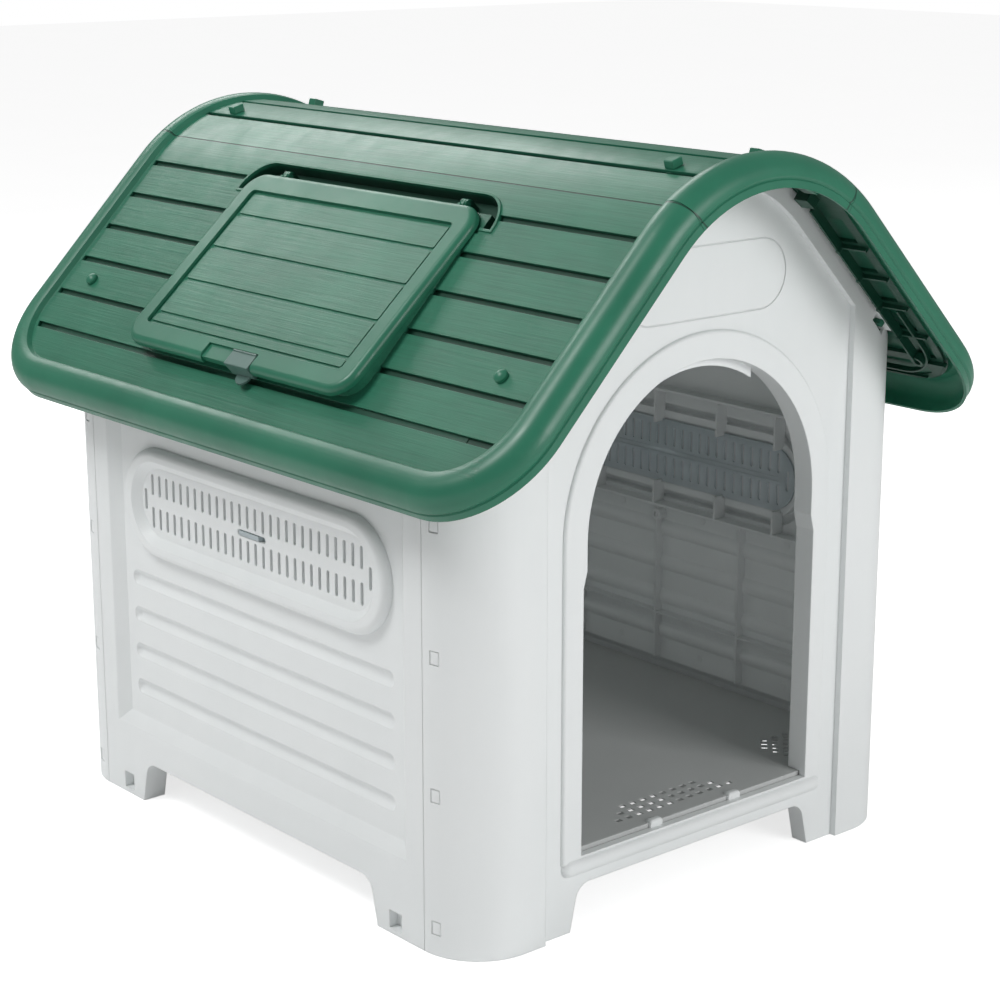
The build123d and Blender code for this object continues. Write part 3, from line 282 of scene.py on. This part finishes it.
# %% Wall, tray and slide finishes
def satin_finish(name, light, dark, rough, scatter, grain):
    finish, tree, shader = new_finish(name)
    cloudy = noise(tree, place(tree), 5.0, detail=4.0, rough=0.5)
    smear = noise(tree, place(tree, stretch=(1.0, 1.0, 0.25)), 26.0, detail=4.0, rough=0.6)
    sand = noise(tree, place(tree), 1400.0, detail=2.0, rough=0.55)
    tone = ramp(tree, cloudy, [(0.32, dark), (0.68, light)])
    streak = ramp(tree, smear, [(0.35, (0.988, 0.990, 0.990)), (0.65, (1.0, 1.0, 1.0))])
    colour = blend_colours(tree, 1.0, tone, streak, mode="MULTIPLY")
    tree.links.new(colour, shader.inputs["Base Color"])
    gloss = ramp(tree, smear, [(0.3, (rough - 0.05,) * 3), (0.7, (rough + 0.05,) * 3)])
    tree.links.new(gloss, shader.inputs["Roughness"])
    normal = bump(tree, sand, grain, 0.00010, under=soft_edges(tree, 0.0018))
    ripple = noise(tree, place(tree), 22.0, detail=1.0, rough=0.4)
    normal = bump(tree, ripple, 0.10, 0.0010, under=normal)
    tree.links.new(normal, shader.inputs["Normal"])
    shader.inputs["Subsurface Weight"].default_value = scatter
    shader.inputs["Subsurface Radius"].default_value = (0.004, 0.004, 0.004)
    shader.inputs["Subsurface Scale"].default_value = 1.0
    shader.inputs["Specular IOR Level"].default_value = 0.45
    return finish


wall_white = satin_finish("wall_white_satin", (0.865, 0.888, 0.888), (0.845, 0.872, 0.873), 0.42, 0.10, 0.16)
tray_grey = satin_finish("tray_grey_satin", (0.60, 0.615, 0.61), (0.56, 0.575, 0.57), 0.45, 0.0, 0.22)
latch_dark = satin_finish("latch_dark_satin", (0.105, 0.195, 0.170), (0.090, 0.170, 0.148), 0.36, 0.0, 0.20)


def milky_finish(name):
    """Blue-grey slide plastic that lets some daylight through."""
    finish, tree, shader = new_finish(name)
    cloudy = noise(tree, place(tree), 12.0, detail=4.0, rough=0.55)
    tone = ramp(tree, cloudy, [(0.30, (0.64, 0.73, 0.76)), (0.70, (0.73, 0.80, 0.83))])
    tree.links.new(tone, shader.inputs["Base Color"])
    sand = noise(tree, place(tree), 1200.0)
    tree.links.new(bump(tree, sand, 0.12, 0.0001, under=soft_edges(tree, 0.0006)), shader.inputs["Normal"])
    shader.inputs["Roughness"].default_value = 0.28
    shader.inputs["Transmission Weight"].default_value = 0.35
    shader.inputs["IOR"].default_value = 1.45
    return finish


slide_milky = milky_finish("slide_milky_blue")
print("satin and milky finishes made")

# %% [markdown]
# ## Dress the mouldings
# Each imported moulding keeps its mesh. Its material slot is simply given the finish of its family.


# %% Assign finishes
FAMILIES = {
    "floor_tray": tray_grey,
    "front_wall": wall_white,
    "back_wall": wall_white,
    "left_wall": wall_white,
    "right_wall": wall_white,
    "left_roof_panel": roof_green,
    "right_roof_panel": roof_green,
    "ridge_cap": roof_green,
    "roof_hatch": lid_green,
    "hatch_latch": latch_dark,
    "left_vent_shutter": slide_milky,
    "right_vent_shutter": slide_milky,
}

for name, moulding in nodes.items():
    finish = FAMILIES.get(name, peg_green)
    moulding.data.materials.clear()
    moulding.data.materials.append(finish)
    print(f"{name:26s} {finish.name}")

# %% [markdown]
# ## Marks the moulding tool leaves
# Look inside any injection-moulded box and there are small flat discs in rows: ejector pins pushed the
# hot part out of the tool there. Each one is a shallow dish with a rolled edge, turned from a short
# profile, so it catches a thin ring of light. A bump texture could fake it, but it would vanish at a
# low angle.


# %% Ejector marks
def turned_mark(name, centre, facing, radius, proud, finish):
    """A low dished disc turned from a profile, its skirt sunk into the wall it stands on."""
    turn = Vector((0.0, 0.0, 1.0)).rotation_difference(Vector(facing)).to_matrix()
    profile = ((0.70, 0.35), (0.78, 0.90), (0.86, 1.0), (0.94, 0.90), (1.0, 0.30), (1.0, -2.5))
    sides = 32
    builder = bmesh.new()
    rings = []
    for reach, height in profile:
        ring = []
        for step in range(sides):
            angle = 2 * pi * step / sides
            spot = Vector((radius * reach * cos(angle), radius * reach * sin(angle), proud * height))
            ring.append(builder.verts.new(Vector(centre) + turn @ spot))
        rings.append(ring)
    for inner, outer in zip(rings, rings[1:]):
        for step in range(sides):
            after = (step + 1) % sides
            builder.faces.new((inner[step], outer[step], outer[after], inner[after]))
    builder.faces.new(rings[0])
    builder.faces.new(list(reversed(rings[-1])))
    bmesh.ops.recalc_face_normals(builder, faces=builder.faces)
    for face in builder.faces:
        face.smooth = len(face.verts) == 4
    return add_piece(name, builder, finish)


def add_piece(name, builder, finish, body="house"):
    """Turn finished mesh work into a piece that rides on a body."""
    mesh = bpy.data.meshes.new(name)
    builder.to_mesh(mesh)
    builder.free()
    mesh.materials.append(finish)
    piece = bpy.data.objects.new(name, mesh)
    bpy.context.scene.collection.objects.link(piece)
    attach(piece, body)
    return piece


SIDE_INNER = 0.291
BACK_INNER = 0.340
MARK_RADIUS = 0.0042
MARK_RISE = 0.0004
marks = []
for side, side_name in ((-1, "left"), (1, "right")):
    for row, height in enumerate((0.1100, 0.2775)):
        for column, along in enumerate((-0.200, -0.067, 0.067, 0.200)):
            spot = (side * SIDE_INNER, along, height)
            marks.append(turned_mark(f"ejector_{side_name}_{row}_{column}", spot, (-side, 0, 0),
                                     MARK_RADIUS, MARK_RISE, wall_white))
for column, across in enumerate((-0.164, 0.164)):
    for row, height in enumerate((0.108, 0.300, 0.488)):
        marks.append(turned_mark(f"ejector_back_{row}_{column}", (across, BACK_INNER, height), (0, -1, 0),
                                 MARK_RADIUS, MARK_RISE, wall_white))
print("ejector marks:", len(marks))

# %% [markdown]
# ## Clips over the tray edge
# The floor tray would rattle if nothing held it, so two small tongues of the front wall lap over its
# edge in the doorway. Each is a ramped strip with rolled ends: its section is drawn once and swept
# along a few stations that shrink towards the ends.


# %% Tray clips
def tray_clip(name, across):
    section = ((-0.3480, 0.0790), (-0.3480, 0.0852), (-0.3466, 0.0868), (-0.3420, 0.0870), (-0.3392, 0.0858),
               (-0.3384, 0.0838), (-0.3384, 0.0790))
    stations = ((-0.0085, 0.55), (-0.0080, 0.80), (-0.0066, 1.0),
                (0.0066, 1.0), (0.0080, 0.80), (0.0085, 0.55))
    builder = bmesh.new()
    loops = []
    for shift, share in stations:
        loop = []
        for depth, height in section:
            squeezed = -0.3432 + (depth + 0.3432) * (0.7 + 0.3 * share)
            loop.append(builder.verts.new((across + shift, squeezed, 0.0790 + (height - 0.0790) * share)))
        loops.append(loop)
    count = len(section)
    for near, far in zip(loops, loops[1:]):
        for step in range(count):
            after = (step + 1) % count
            builder.faces.new((near[step], near[after], far[after], far[step]))
    builder.faces.new(list(reversed(loops[0])))
    builder.faces.new(loops[-1])
    bmesh.ops.recalc_face_normals(builder, faces=builder.faces)
    return add_piece(name, builder, wall_white)


clips = [tray_clip("tray_clip_left", -0.052), tray_clip("tray_clip_right", 0.060)]
print("tray clips:", len(clips))

# %% [markdown]
# ## The studio
# A pale floor under a white sky keeps the shadow soft and lets the white walls read by their edges. One
# softbox stands high on the left, a larger one in front, and a strip puts a sheen on the ridge from
# behind. Real walls this thin pass some daylight, so a very weak box inside stands in for it:
# thin-walled scattering would cost far more.


# %% Floor and lights
def pale_floor():
    mesh = bpy.data.meshes.new("studio_floor")
    builder = bmesh.new()
    reach = 14.0
    corners = [builder.verts.new((x, y, -0.0005)) for x, y in
               ((-reach, -reach), (reach, -reach), (reach, reach), (-reach, reach))]
    builder.faces.new(corners)
    builder.to_mesh(mesh)
    builder.free()
    floor = bpy.data.objects.new("studio_floor", mesh)
    bpy.context.scene.collection.objects.link(floor)
    finish, tree, shader = new_finish("studio_paper")
    faint = noise(tree, place(tree), 3.0)
    tone = ramp(tree, faint, [(0.3, (0.84, 0.84, 0.84)), (0.7, (0.86, 0.86, 0.86))])
    tree.links.new(tone, shader.inputs["Base Color"])
    shader.inputs["Roughness"].default_value = 0.9
    shader.inputs["Emission Color"].default_value = (1.0, 1.0, 1.0, 1.0)
    rays = add_node(tree, "ShaderNodeLightPath")
    glow = calc(tree, "MULTIPLY_ADD", rays.outputs["Is Camera Ray"], 0.62, 0.08)
    tree.links.new(glow, shader.inputs["Emission Strength"])
    mesh.materials.append(finish)
    return floor


pale_floor()


def softbox(name, where, aim, size, power, tint=(1.0, 1.0, 1.0)):
    lamp = bpy.data.lights.new(name, "AREA")
    lamp.shape = "RECTANGLE"
    lamp.size, lamp.size_y = size
    lamp.energy = power
    lamp.color = tint
    box = bpy.data.objects.new(name, lamp)
    box.location = where
    box.rotation_mode = "QUATERNION"
    box.rotation_quaternion = (Vector(aim) - Vector(where)).to_track_quat("-Z", "Y")
    bpy.context.scene.collection.objects.link(box)
    return box


softbox("softbox_high_left", (-2.2, 0.9, 3.4), (0, 0, 0.4), (1.3, 1.3), 72)
softbox("softbox_front", (0.7, -4.0, 1.7), (0, 0, 0.35), (2.0, 1.6), 68)
softbox("light_through_thin_walls", (0.0, 0.05, 0.60), (0, 0, 0.0), (0.36, 0.50), 0.16)
softbox("strip_behind", (0.75, 3.1, 2.75), (0, 0, 0.65), (2.8, 0.8), 42)

world = bpy.data.worlds.new("white_sky")
world.use_nodes = True
sky = world.node_tree
background = sky.nodes["Background"]
background.inputs["Color"].default_value = (1.0, 1.0, 1.0, 1.0)
seen_or_lighting = add_node(sky, "ShaderNodeLightPath")
strength = calc(sky, "MULTIPLY_ADD", seen_or_lighting.outputs["Is Camera Ray"], 0.72, 0.28)
sky.links.new(strength, background.inputs["Strength"])
bpy.context.scene.world = world
bpy.context.scene.view_settings.view_transform = "Standard"
bpy.context.scene.view_settings.look = "None"
print("studio lit")
